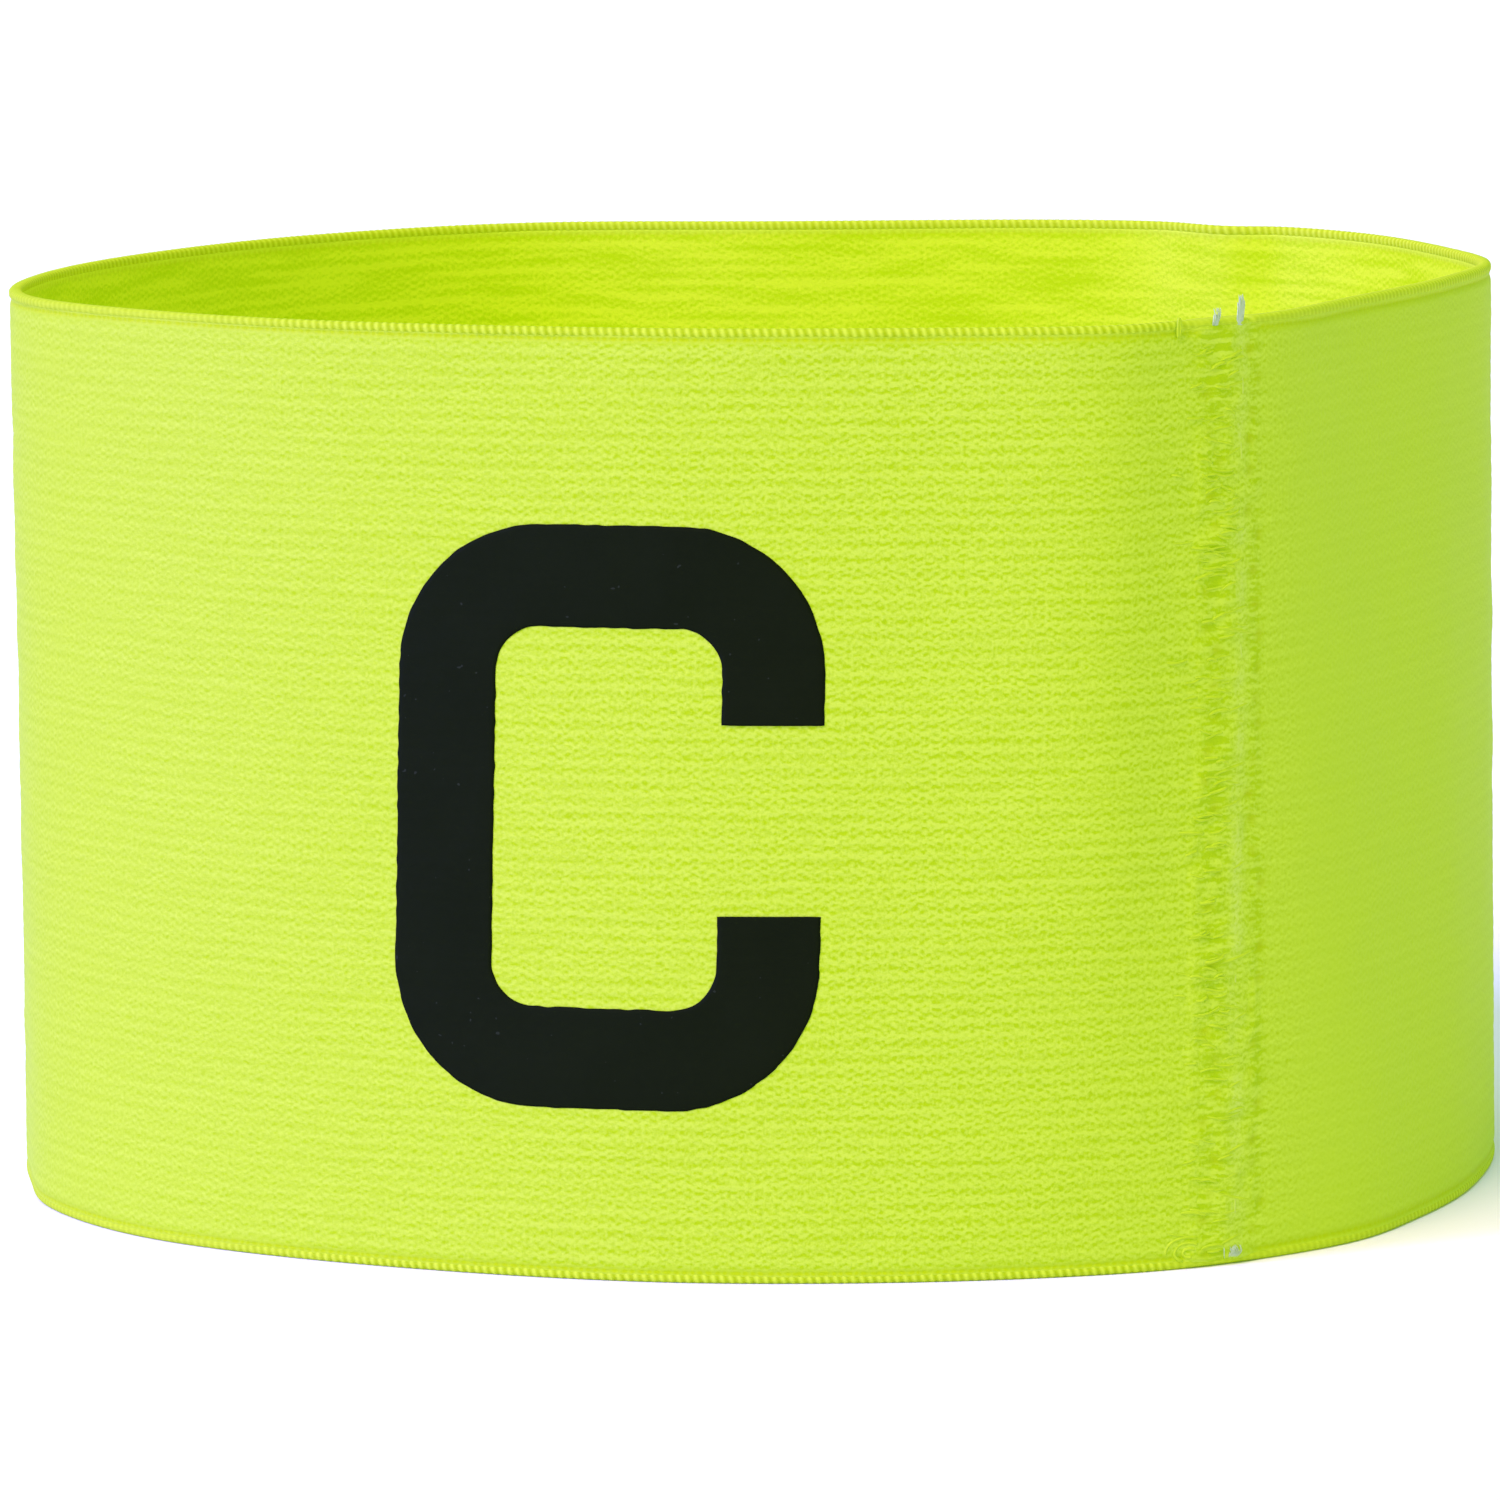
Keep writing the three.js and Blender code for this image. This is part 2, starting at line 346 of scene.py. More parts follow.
def slow_relief(along, z):
    """The lumps that are broader than a course, the lap's swelling and its puckers."""
    seam = seam_share(along)
    lumps = patchy(along, z, 7 * MM, 3.5 * MM, 31) + 0.6 * patchy(along, z, 2.4 * MM, 1.5 * MM, 32)
    middle = np.exp(-((from_seam(along) - 0.3 * MM) / (1.7 * MM)) ** 2)
    swelling = LAP_SWELL * (0.35 + 0.65 * middle)
    narrow_pucker = 0.12 * MM * patchy(along, z, 1.1 * MM, 1.3 * MM, 33)
    level_pucker = 0.1 * MM * patchy(along, z, 2.2 * MM, 0.8 * MM, 34)
    return LUMP_RELIEF * lumps + crease(along, z) + seam * (swelling + narrow_pucker + level_pucker)


def groove(along, z):
    middle = GROOVE_MIDDLE * round_loop(TALLER_EDGE, along)
    cut = np.exp(-(((edge_distance(z) - middle) / GROOVE_WIDTH) ** 2) * 1.6)
    return GROOVE_DEPTH * cut * (1 - 0.8 * seam_share(along))


def crease(along, z):
    """The soft upright ridge left of the seam, sharper on its right, that fades towards the foot."""
    beside = from_seam(along) - CREASE_PLACE
    rise = smooth_step(beside, -2.5 * CREASE_REACH, -0.1 * CREASE_REACH)
    fall = 1 - smooth_step(beside, -0.1 * CREASE_REACH, CREASE_REACH)
    return CREASE_RELIEF * rise * fall * smooth_step(z, 12 * MM, 40 * MM)


def course_height(along, z):
    """How high the courses stand here: they vary, and stop short of the edges."""
    knit = smooth_step(edge_distance(z), STRIPE_END - 0.1 * MM, STRIPE_END + 0.5 * MM)
    uneven = 0.75 + 0.35 * patchy(along, z, 3 * MM, 2.4 * MM, 41)
    flatter = (1 - 0.5 * seam_share(along)) * (1 - 0.6 * round_loop(CALM, along))
    return COURSE_RELIEF * uneven * knit * flatter


def lapped_wall(along):
    """The thickness of the strip, with the second layer inside at the lap."""
    lap = 1 - smooth_step(np.abs(from_seam(along)), LAP_WIDTH / 2, LAP_WIDTH / 2 + CUT_SLOPE)
    return WALL + LAP_LAYER * lap


def new_object(name, points, faces, material):
    """A smooth object from points and a list of faces."""
    mesh = bpy.data.meshes.new(name)
    mesh.from_pydata(np.asarray(points).reshape(-1, 3).tolist(), [], faces)
    mesh.polygons.foreach_set("use_smooth", [True] * len(mesh.polygons))
    mesh.materials.append(material)
    piece = bpy.data.objects.new(name, mesh)
    bpy.context.scene.collection.objects.link(piece)
    return piece


def torus_faces(columns, rows):
    """The four-cornered faces of a grid that closes on itself both ways."""
    column, row = np.meshgrid(np.arange(columns), np.arange(rows), indexing="ij")
    right, above = (column + 1) % columns, (row + 1) % rows
    corners = [column * rows + row, right * rows + row, right * rows + above, column * rows + above]
    return np.stack(corners, axis=-1).reshape(-1, 4)


def point_attribute(piece, name, values):
    attribute = piece.data.attributes.new(name, "FLOAT", "POINT")
    attribute.data.foreach_set("value", np.asarray(values, np.float32).ravel())


def strip_coordinates(piece, columns, rows, along, z):
    """A UV map that holds the place on the flat strip, in millimetres."""
    column, row = np.meshgrid(np.arange(columns), np.arange(rows), indexing="ij")
    right, above = (column + 1) % columns, (row + 1) % rows
    along_here = along[:, None].repeat(rows, axis=1)
    along_right = np.roll(along, -1)[:, None].repeat(rows, axis=1)
    along_right[-1] += loop_length
    u = np.stack([along_here, along_right, along_right, along_here], axis=-1)
    v = np.stack([z[row], z[row], z[above], z[above]], axis=-1)
    layer = piece.data.uv_layers.new(name="strip")
    layer.data.foreach_set("uv", (np.stack([u, v], axis=-1) / MM).astype(np.float32).ravel())


def strip_columns(count, seam_count):
    """The columns' places round the loop, close together over the lap."""
    half = LAP_WIDTH / 2 + 2 * MM
    lap = np.linspace(-half, half, seam_count, endpoint=False)
    rest = np.linspace(half, loop_length - half, count - seam_count, endpoint=False)
    return np.concatenate([lap, rest])


def side_heights(phases):
    """The levels of one face from its foot up: the bead's and groove's, then some to each course."""
    knit = STRIPE_END + COURSE_PITCH * (np.arange(COURSES)[:, None] + np.array(phases)).ravel()
    return np.concatenate([EDGE_LEVELS, knit, [STRIP_WIDTH - STRIPE_END], STRIP_WIDTH - EDGE_LEVELS[::-1]])


def elastic_strip(material):
    outer_z = side_heights([0, 0.3, 0.7])
    inner_z = side_heights([0, 0.5])[::-1]
    along = strip_columns(COLUMNS_AROUND, LAP_COLUMNS)
    columns, rows = len(along), len(outer_z) + len(inner_z)

    a, z = np.meshgrid(along, outer_z, indexing="ij")
    ridge = course_height(a, z) * course_ridge(z)
    outward = ridge + slow_relief(a, z) - groove(a, z) - NEEDLE_DEPTH * needle_holes(a, z)
    tucked = BEAD_TUCK * (1 - smooth_step(edge_distance(z), 0.3 * MM, 0.7 * MM))
    outer = wall_points(a, z + wander(a, z), tucked - outward)

    a, z = np.meshgrid(along, inner_z, indexing="ij")
    soft_ridge = 0.8 * course_height(a, z) * course_ridge(z)
    inward = soft_ridge + 0.5 * LUMP_RELIEF * patchy(a, z, 6 * MM, 2 * MM, 35) - 0.3 * groove(a, z)
    tucked = 0.6 * BEAD_TUCK * (1 - smooth_step(edge_distance(z), 0.45 * MM, 0.85 * MM))
    inner = wall_points(a, z + wander(a + 40 * MM, z), lapped_wall(a) + inward - tucked)

    points = np.concatenate([outer, inner], axis=1)
    piece = new_object("elastic_strip", points, torus_faces(columns, rows).tolist(), material)
    z_all = np.concatenate([outer_z, inner_z])
    strip_coordinates(piece, columns, rows, along, z_all)
    a, z = np.meshgrid(along, z_all, indexing="ij")
    is_inner = np.arange(rows) >= len(outer_z)
    # The inner face, which takes lighter painted tones and a stronger painted glow.
    point_attribute(piece, "inside", is_inner[None, :].repeat(columns, axis=0))
    # Where painted shade darkens the needle holes.
    point_attribute(piece, "hole_shade", needle_holes(a, z) * ~is_inner)
    pale = np.exp(-(((from_seam(a) - stitch_line(z)) / PALE_WIDTH) ** 2))
    patches = 0.6 + 0.6 * patchy(a, z, 1.2 * MM, 1.6 * MM, 71)
    point_attribute(piece, "pale", pale * patches * ~is_inner)
    stripe = 1 - smooth_step(edge_distance(z), STRIPE_END - 0.3 * MM, STRIPE_END)
    point_attribute(piece, "stripe", stripe * np.where(is_inner, 1, round_loop(PALE_STRIPE, a)))
    # The groove's share, which also sets its painted shade.
    point_attribute(piece, "groove", groove(a, z) / GROOVE_DEPTH)
    point_attribute(piece, "calm", np.where(is_inner, 0.3, round_loop(CALM, a)))
    # The matted knit's streaks, partly painted shade between the pulled strands.
    point_attribute(piece, "tangle_and_shade", tangle_and_shade_share(a, z) * ~is_inner)
    return piece


def tangle_and_shade_share(along, z):
    """Where the sewing has matted the knit, with painted shade between the strands: strongly along the
    zigzag's left side, less along its right.
    """
    beside = from_seam(along) - drift(z, ZIGZAG_MIDDLE_FOOT, ZIGZAG_MIDDLE_RIM)
    left = np.exp(-(((beside + ZIGZAG_WIDTH * 0.4) / (1.5 * MM)) ** 2))
    right = np.exp(-(((beside - ZIGZAG_WIDTH * 0.5) / (0.8 * MM)) ** 2))
    uneven = 0.75 + 0.45 * patchy(along, z, 3 * MM, 3.5 * MM, 72)
    return uneven * (left + 0.7 * right)


def edge_bead(name, is_upper, material, seed):
    """The corded edge: a cord round the loop, wrapped by slanted ribs. The upper one has a notch."""
    ribs = round(loop_length / RIB_PITCH)
    columns = ribs * RIB_COLUMNS
    along = np.arange(columns) * loop_length / columns
    turn = np.arange(BEAD_SIDES) * 2 * math.pi / BEAD_SIDES
    a, angle = np.meshgrid(along, turn, indexing="ij")
    lap = seam_share(a)
    half_high = BEAD_HEIGHT / 2 * round_loop(TALLER_EDGE, a)
    rib_share = round_loop(RIBS, a)
    middle_z = STRIP_WIDTH - half_high if is_upper else half_high
    rib = 0.5 + 0.5 * np.cos(2 * math.pi * a * ribs / loop_length + RIB_TWIST * angle)
    uneven = 1 + 0.5 * patchy(a, middle_z, 1.3 * MM, 5 * MM, seed)
    relief = RIB_RELIEF * (rib**0.7 - 0.6) * uneven * rib_share
    if is_upper:
        relief = relief - NOTCH_DEPTH * np.exp(-(((from_seam(a) - NOTCH_PLACE) / NOTCH_WIDTH) ** 2))
    half_wide = lapped_wall(a) / 2 + BEAD_SWELL
    boxy = (np.abs(np.cos(angle)) ** 3 + np.abs(np.sin(angle)) ** 3) ** (-1 / 3)
    depth = lapped_wall(a) / 2 - boxy * np.cos(angle) * (half_wide + relief)
    depth = depth - LAP_SWELL * 0.5 * lap - crease(a, middle_z)
    z = middle_z + boxy * np.sin(angle) * (half_high + relief * 0.8)
    z = np.clip(z, 0, STRIP_WIDTH + 0.05 * MM)
    points = wall_points(a, z, depth)
    faces = torus_faces(columns, BEAD_SIDES)[:, ::-1].tolist()
    piece = new_object(name, points, faces, material)
    # The rib share also sets the painted shade between the ribs and the painted highlight on them.
    point_attribute(piece, "rib", 0.5 + (rib**1.3 - 0.5) * rib_share)
    # Where the bead's inner side takes the stronger painted glow.
    point_attribute(piece, "inside", smooth_step(-np.cos(angle), -0.2, 0.6))
    # Painted shade on the lower bead's underside.
    point_attribute(piece, "underside_shade", smooth_step(-np.sin(angle), 0.25, 0.8) * (not is_upper))
    return piece


def tube(path, radius):
    """The rings and faces of a thread along a path, closed and tapered at both ends."""
    path = np.asarray(path, float)
    sides, last = THREAD_SIDES, len(path) - 1
    radii = radius * np.interp(np.arange(len(path)), [0, 1, last - 1, last], [0.35, 1, 1, 0.35])
    tangents = np.gradient(path, axis=0)
    tangents /= np.linalg.norm(tangents, axis=1, keepdims=True)
    side = np.cross(tangents[0], np.eye(3)[np.argmin(np.abs(tangents[0]))])
    turn = np.arange(sides) * 2 * math.pi / sides
    rings = []
    for point, tangent, thick in zip(path, tangents, radii):
        side = side - tangent * (side @ tangent)
        side /= np.linalg.norm(side)
        other = np.cross(tangent, side)
        rings.append(point + thick * (np.cos(turn)[:, None] * side + np.sin(turn)[:, None] * other))
    faces = []
    for ring in range(last):
        here, there = ring * sides, (ring + 1) * sides
        for k in range(sides):
            after = (k + 1) % sides
            faces.append([here + k, here + after, there + after, there + k])
    faces.append(list(range(sides))[::-1])
    faces.append([last * sides + k for k in range(sides)])
    return np.vstack(rings), faces


def thread_object(name, threads, material):
    """One object for many threads, each a path and a radius."""
    points, faces, first = [], [], 0
    for path, radius in threads:
        ring_points, ring_faces = tube(path, radius)
        points.append(ring_points)
        faces += [[first + k for k in face] for face in ring_faces]
        first += len(ring_points)
    return new_object(name, np.vstack(points), faces, material)


def on_outer_face(along, z, lift):
    """Points that follow the outer face's slow relief, at a height over it."""
    return wall_points(along, z, -(slow_relief(along, z) + lift))


def zigzag_threads():
    """The zigzag's own thread, from hole to hole, pulled into the outer face."""
    threads = []
    for k in range(needle_count - 1):
        t = np.linspace(0, 1, 12)
        along = needle_along[k] + (needle_along[k + 1] - needle_along[k]) * t
        z = needle_z[k] + (needle_z[k + 1] - needle_z[k]) * t
        bow = seam_draw.uniform(-0.2, 0.3) * MM * np.sin(math.pi * t)
        arch = np.sin(math.pi * t) ** 0.35
        height = 0.38 * MM + seam_draw.uniform(-0.1, 0.06) * MM
        path = on_outer_face(along, z + bow, arch * height - 0.5 * MM)
        threads.append((path, ZIGZAG_THREAD * seam_draw.uniform(0.7, 1.1)))
    return threads


def pulled_strands(count):
    """Loose yarns of the cut end that the zigzag has pulled over, mostly level, left of the middle."""
    threads = []
    for _ in range(count):
        middle = seam_draw.normal(-1.0, 1.2) * MM
        level = seam_draw.uniform(1.2, 73.8) * MM
        reach = seam_draw.uniform(0.5, 1.3) * MM
        t = np.linspace(-1, 1, 9)
        z = level + seam_draw.uniform(-0.3, 0.3) * MM * t + seam_draw.uniform(-0.3, 0.3) * MM * t**2
        lift = -0.12 * MM + (COURSE_RELIEF + seam_draw.uniform(0.03, 0.14) * MM) * (1 - t**2) ** 0.7
        threads.append((on_outer_face(middle + reach * t, z, lift), seam_draw.uniform(0.08, 0.15) * MM))
    return threads


# Arcs of thread that lie on the outer face, in millimetres: the loop at the rim, and the swirl at the foot
Arc = namedtuple("Arc", "along z wide high start end lift thread")
ARCS = [
    Arc(-5.2, 74.4, 0.1, 0.85, -60, 230, 0.16, 0.12),
    Arc(-3.0, 1.3, 0.5, 0.35, 30, 290, -0.09, 0.14),
    Arc(-3.1, 1.35, 1.1, 0.75, 40, 250, -0.1, 0.15),
    Arc(-3.2, 1.4, 1.8, 1.15, 60, 190, -0.1, 0.15),
]


def arc_thread(arc):
    angle = np.radians(np.linspace(arc.start, arc.end, 26))
    along = (arc.along + arc.wide * np.cos(angle)) * MM
    z = (arc.z + arc.high * np.sin(angle)) * MM
    return on_outer_face(along, z, arc.lift * MM + COURSE_RELIEF), arc.thread * MM


def stitch_line(z):
    """Where the straight line of stitches runs up the lap."""
    return drift(z, STITCH_LINE_FOOT, STITCH_LINE_RIM) + 0.12 * MM * np.sin(z / (6 * MM))


def sunk_stitches():
    """The straight line of pale thread up the seam, of which only the middle of each stitch shows."""
    threads = []
    for k in range(1, int((STRIP_WIDTH - 1.4 * MM) / STITCH)):
        t = np.linspace(0, 1, 12)
        z = 0.8 * MM + STITCH * (k + t * 0.97)
        height = seam_draw.uniform(0.1, 0.26) * MM + COURSE_RELIEF
        lift = -0.35 * MM + height * np.sin(math.pi * t) ** 0.6
        threads.append((on_outer_face(stitch_line(z), z, lift), STITCH_THREAD))
    return threads


# The tufts of cut thread: where each stands, which way it goes and how wide it is, in millimetres
Tuft = namedtuple("Tuft", "along z rise out width fibres")
TUFTS = [
    Tuft(1.1, 74.2, 2.7, 0.3, 0.36, 30),
    Tuft(-1.4, 74.3, 1.6, 0.4, 0.38, 20),
    Tuft(0.95, 0.45, 1.2, 0.6, 0.6, 36),
]


def tuft_threads(tuft):
    """Fine fibres that start close together and stand off the strip."""
    threads = []
    for _ in range(tuft.fibres):
        start, lean, bend = seam_draw.normal(0, 0.4, 3) * tuft.width
        length = seam_draw.uniform(0.45, 1.0)
        t = np.linspace(0, 1, 9)
        along = (tuft.along + start + lean * t + bend * np.sin(3 * t) * 0.5) * MM
        z = (tuft.z + tuft.rise * length * t) * MM
        out = (tuft.out * length * np.sin(2.2 * t) - 0.1) * MM
        path = wall_points(along, z, -out - LAP_SWELL * 0.5)
        threads.append((path, seam_draw.uniform(0.025, 0.05) * MM))
    return threads


def letter_stations(count):
    """Places and directions along the middle of the letter's stroke, on the flat strip."""
    side = (LETTER_WIDTH - LETTER_STROKE) / 2
    top = (LETTER_HEIGHT - LETTER_STROKE) / 2
    turn = LETTER_CORNER - LETTER_STROKE / 2
    path = [np.array([[side, LETTER_MOUTH / 2]])]
    across, up = side - turn, top - turn
    for quarter, (x, z) in enumerate([(across, up), (-across, up), (-across, -up), (across, -up)]):
        angle = (quarter + np.linspace(0, 1, 40)) * math.pi / 2
        path.append(np.column_stack([x + turn * np.cos(angle), z + turn * np.sin(angle)]))
    path.append(np.array([[side, -LETTER_MOUTH / 2]]))
    path = np.vstack(path)
    reach = np.concatenate([[0], np.cumsum(np.linalg.norm(np.diff(path, axis=0), axis=1))])

    def at(stations):
        return np.column_stack([np.interp(stations, reach, path[:, k]) for k in (0, 1)])

    stations = np.linspace(0, reach[-1], count)
    forward = at(stations + 0.2 * MM) - at(stations - 0.2 * MM)
    return at(stations), forward / np.linalg.norm(forward, axis=1, keepdims=True)


def film_letter(material):
    """The film of the letter, which sinks a little into the knit and has a slightly ragged edge."""
    count, across = FILM_STATIONS, FILM_ACROSS
    place, forward = letter_stations(count)
    share = np.linspace(-0.5, 0.5, across)
    x = place[:, 0, None] - forward[:, 1, None] * share * LETTER_STROKE
    z = place[:, 1, None] + forward[:, 0, None] * share * LETTER_STROKE
    along, z = x - SEAM_TO_LETTER, z + LETTER_MIDDLE
    ragged = FILM_RAGGED * (2 * np.abs(share)) ** 8
    along = along + ragged * patchy(along, z, 0.8 * MM, 0.7 * MM, 51)
    z = z + ragged * patchy(along, z, 0.8 * MM, 0.7 * MM, 52)
    level = z - wander(along, z)
    base = slow_relief(along, level) + course_height(along, level) * (0.45 + 0.55 * course_ridge(level))
    rounded = FILM_THICKNESS * (1 - 0.5 * (2 * np.abs(share)) ** 12)
    top = wall_points(along, z, -(base + rounded))
    bottom = wall_points(along, z, -(base - COURSE_RELIEF))[:, ::-1]
    points = np.concatenate([top, bottom], axis=1)
    rows = 2 * across
    faces = torus_faces(count, rows)[: (count - 1) * rows].tolist()
    last = (count - 1) * rows
    for i in range(across - 1):
        opposite = rows - 1 - i
        faces.append([i, i + 1, opposite - 1, opposite])
        faces.append([last + opposite, last + opposite - 1, last + i + 1, last + i])
    return new_object("letter_film", points, faces, material)


# Materials

# The sockets of a node that mixes two colours
MIX_SHARE, MIX_FIRST, MIX_SECOND, MIX_RESULT = 0, 6, 7, 2


class Nodes:
    """The nodes of a material or world, made one after another and linked by what feeds them."""

    def __init__(self, owner):
        owner.use_nodes = True
        self.tree = owner.node_tree
        if isinstance(owner, bpy.types.Material):
            owner.cycles.emission_sampling = "NONE"

    def add(self, kind, inputs=(), **settings):
        node = self.tree.nodes.new(kind)
        for key, value in settings.items():
            setattr(node, key, value)
        for key, value in dict(inputs).items():
            self.feed(node, key, value)
        return node

    def feed(self, node, key, value):
        if isinstance(value, bpy.types.NodeSocket):
            self.tree.links.new(value, node.inputs[key])
        else:
            node.inputs[key].default_value = value

    def math(self, operation, *values, clamp=False):
        node = self.add("ShaderNodeMath", dict(enumerate(values)), operation=operation, use_clamp=clamp)
        return node.outputs[0]

    def scaled(self, value, factor, plus, clamp=False):
        return self.math("MULTIPLY_ADD", value, factor, plus, clamp=clamp)

    def centred(self, noise, spread):
        """Noise moved to lie round 0, with the given distance between its ends."""
        return self.scaled(noise, spread, -spread / 2)

    def mix(self, share, first, second):
        inputs = {MIX_SHARE: share, MIX_FIRST: first, MIX_SECOND: second}
        return self.add("ShaderNodeMix", inputs, data_type="RGBA").outputs[MIX_RESULT]

    def attribute(self, name):
        return self.add("ShaderNodeAttribute", attribute_name=name).outputs["Fac"]

    def place(self):
        return self.add("ShaderNodeTexCoord").outputs["Object"]

    def stretched(self, vector, scale, offset=(0, 0, 0)):
        inputs = {"Vector": vector, "Scale": scale, "Location": offset}
        return self.add("ShaderNodeMapping", inputs).outputs["Vector"]

    def noise(self, vector, scale, detail=2.0, rough=0.5):
        inputs = {"Vector": vector, "Scale": scale, "Detail": detail, "Roughness": rough}
        return self.add("ShaderNodeTexNoise", inputs).outputs["Fac"]

    def bump(self, height, distance):
        inputs = {"Height": height, "Distance": distance}
        return self.add("ShaderNodeBump", inputs).outputs["Normal"]

    def shader(self, **inputs):
        """Sets the shader's inputs, whose names are written here with _ for each space."""
        node = self.tree.nodes["Principled BSDF"]
        for key, value in inputs.items():
            self.feed(node, key.replace("_", " "), value)


def elastic_material():
    material = bpy.data.materials.new("elastic_knit")
    nodes = Nodes(material)
    place = nodes.add("ShaderNodeUVMap", uv_map="strip").outputs["UV"]
    split = nodes.add("ShaderNodeSeparateXYZ", {"Vector": place})
    inside = nodes.attribute("inside")
    stripe = nodes.attribute("stripe")

    # The stitches: columns of half a wale each, in which pits and bumps take turns up the strip
    wales = 2 * round(loop_length / WALE_PITCH / 2)
    wale = nodes.math("MULTIPLY", split.outputs["X"], wales * MM / loop_length)
    above_stripe = nodes.math("SUBTRACT", split.outputs["Y"], STRIPE_END / MM)
    half_course = nodes.math("MULTIPLY", above_stripe, 2 * MM / COURSE_PITCH)
    stray_along = nodes.noise(place, 0.8, 1.0)
    stray_up = nodes.noise(nodes.stretched(place, (1, 1, 1), (31, 17, 5)), 1.1, 1.0)
    wale = nodes.math("ADD", wale, nodes.centred(stray_along, 1.8))
    half_course = nodes.math("ADD", half_course, nodes.centred(stray_up, 1.0))
    across = nodes.math("COSINE", nodes.math("MULTIPLY", wale, math.pi))
    upward = nodes.math("COSINE", nodes.math("MULTIPLY", half_course, 2 * math.pi))
    pits = nodes.math("MULTIPLY", across, upward)
    course = nodes.math("COSINE", nodes.math("MULTIPLY", half_course, math.pi))
    patch = nodes.noise(place, 0.35, 1.0)
    fibre = nodes.noise(place, 3.2, 1.0, 0.6)
    row = nodes.noise(nodes.stretched(place, (0.1, 0.9, 1)), 1.0, 1.0)

    # 0 stands for the middle tone: painted shade in pits and between courses, a painted highlight on bumps
    lively = nodes.scaled(patch, 1.6, 0.05)
    deep = nodes.math("MAXIMUM", pits, 0.0)
    proud = nodes.math("MAXIMUM", nodes.math("MULTIPLY", pits, -1.0), 0.0)
    knit = nodes.scaled(deep, -0.78, nodes.scaled(proud, 0.42, 0.18))
    knit = nodes.math("MULTIPLY", knit, lively)
    # Painted shade along the lines between courses, uneven along the rows.
    course_line_shade = nodes.math("MULTIPLY", course, nodes.scaled(row, -0.95, 0.22))
    knit = nodes.math("ADD", knit, course_line_shade)
    band = nodes.math("MULTIPLY", inside, nodes.scaled(row, 3.6, -1.85))
    knit = nodes.math("ADD", knit, band)
    knit = nodes.math("ADD", knit, nodes.centred(fibre, 2.4))
    # The stripe and the calm places weaken the knit's painted shade and its tone alike.
    contrast = nodes.scaled(stripe, -0.7, 1.0)
    contrast = nodes.math("MULTIPLY", contrast, nodes.math("SUBTRACT", 1.0, nodes.attribute("calm")))
    knit = nodes.math("MULTIPLY", knit, contrast)

    # Light and dark streaks of matted knit, the dark ones partly painted shade between the pulled strands.
    streak = nodes.noise(nodes.stretched(place, (0.4, 2.3, 1), (7, 3, 1)), 1.0, 1.0)
    matted_streaks_and_shade = nodes.math("MULTIPLY", nodes.attribute("tangle_and_shade"), nodes.scaled(streak, 6.5, -3.6))
    knit = nodes.math("ADD", knit, matted_streaks_and_shade)

    tone = nodes.math("ADD", knit, 0.55, clamp=True)
    # The inner face takes its lighter tones: painted light inside the loop.
    dark = nodes.mix(inside, OUTER_KNIT.dark, LIT_INNER_KNIT.dark)
    light = nodes.mix(inside, OUTER_KNIT.light, LIT_INNER_KNIT.light)
    colour = nodes.mix(tone, dark, light)
    smooth = nodes.mix(inside, OUTER_STRIPE, LIT_INNER_STRIPE)
    colour = nodes.mix(nodes.math("MULTIPLY", stripe, 0.6), colour, smooth)
    # Painted shade in the groove, uneven along the wales and weaker on the inner face.
    ticks = nodes.math("MULTIPLY", across, across)
    tick = nodes.scaled(ticks, -0.45, nodes.scaled(inside, -0.6, 1.2))
    groove_shade = nodes.math("MULTIPLY", nodes.attribute("groove"), tick, clamp=True)
    colour = nodes.mix(groove_shade, colour, GROOVE_SHADE)
    pale = nodes.math("MULTIPLY", nodes.attribute("pale"), nodes.scaled(fibre, 1.6, -0.3), clamp=True)
    colour = nodes.mix(pale, colour, STITCHED_COLOUR)
    # Painted shade in the needle holes' dimples, uneven with the fibres.
    hole_shade = nodes.math("MULTIPLY", nodes.attribute("hole_shade"), nodes.scaled(fibre, 1.6, 0.4), clamp=True)
    colour = nodes.mix(hole_shade, colour, HOLE_SHADE_COLOUR)
    nodes.shader(Base_Color=colour, Normal=nodes.bump(fibre, 0.05 * MM), Roughness=0.6)
    # Painted light: a steady glow, stronger on the inner face.
    painted_glow = nodes.mix(inside, PAINTED_GLOW, PAINTED_INNER_GLOW)
    nodes.shader(Specular_IOR_Level=0.12, Emission_Color=painted_glow, Emission_Strength=1.0)
    return material


def bead_material():
    material = bpy.data.materials.new("elastic_bead")
    nodes = Nodes(material)
    grain = nodes.noise(nodes.place(), 2500, 1.0)
    # Painted shade between the ribs and painted highlight on them, with grain at random.
    tone = nodes.scaled(grain, 0.4, nodes.scaled(nodes.attribute("rib"), 1.1, -0.2), clamp=True)
    colour = nodes.mix(tone, BEAD.dark, BEAD.light)
    # Painted shade on the lower bead's underside.
    underside_shade = nodes.math("MULTIPLY", nodes.attribute("underside_shade"), 0.3)
    colour = nodes.mix(underside_shade, colour, BEAD_UNDERSIDE_SHADE)
    nodes.shader(Base_Color=colour, Normal=nodes.bump(grain, 0.03 * MM), Roughness=0.7)
    # Painted light: the bead glows, more on its inner side.
    painted_glow = nodes.mix(nodes.attribute("inside"), PAINTED_GLOW, PAINTED_INNER_GLOW)
    nodes.shader(Specular_IOR_Level=0.12, Emission_Color=painted_glow, Emission_Strength=1.0)
    return material


def thread_material(name, tones, painted_glow):
    material = bpy.data.materials.new(name)
    nodes = Nodes(material)
    grain = nodes.noise(nodes.place(), 1800, 1.0)
    colour = nodes.mix(grain, tones.dark, tones.light)
    nodes.shader(Base_Color=colour, Normal=nodes.bump(grain, 0.03 * MM), Roughness=0.6)
    # Painted light: the thread glows with the colour it is given.
    nodes.shader(Specular_IOR_Level=0.3, Emission_Color=painted_glow, Emission_Strength=1.0)
    return material


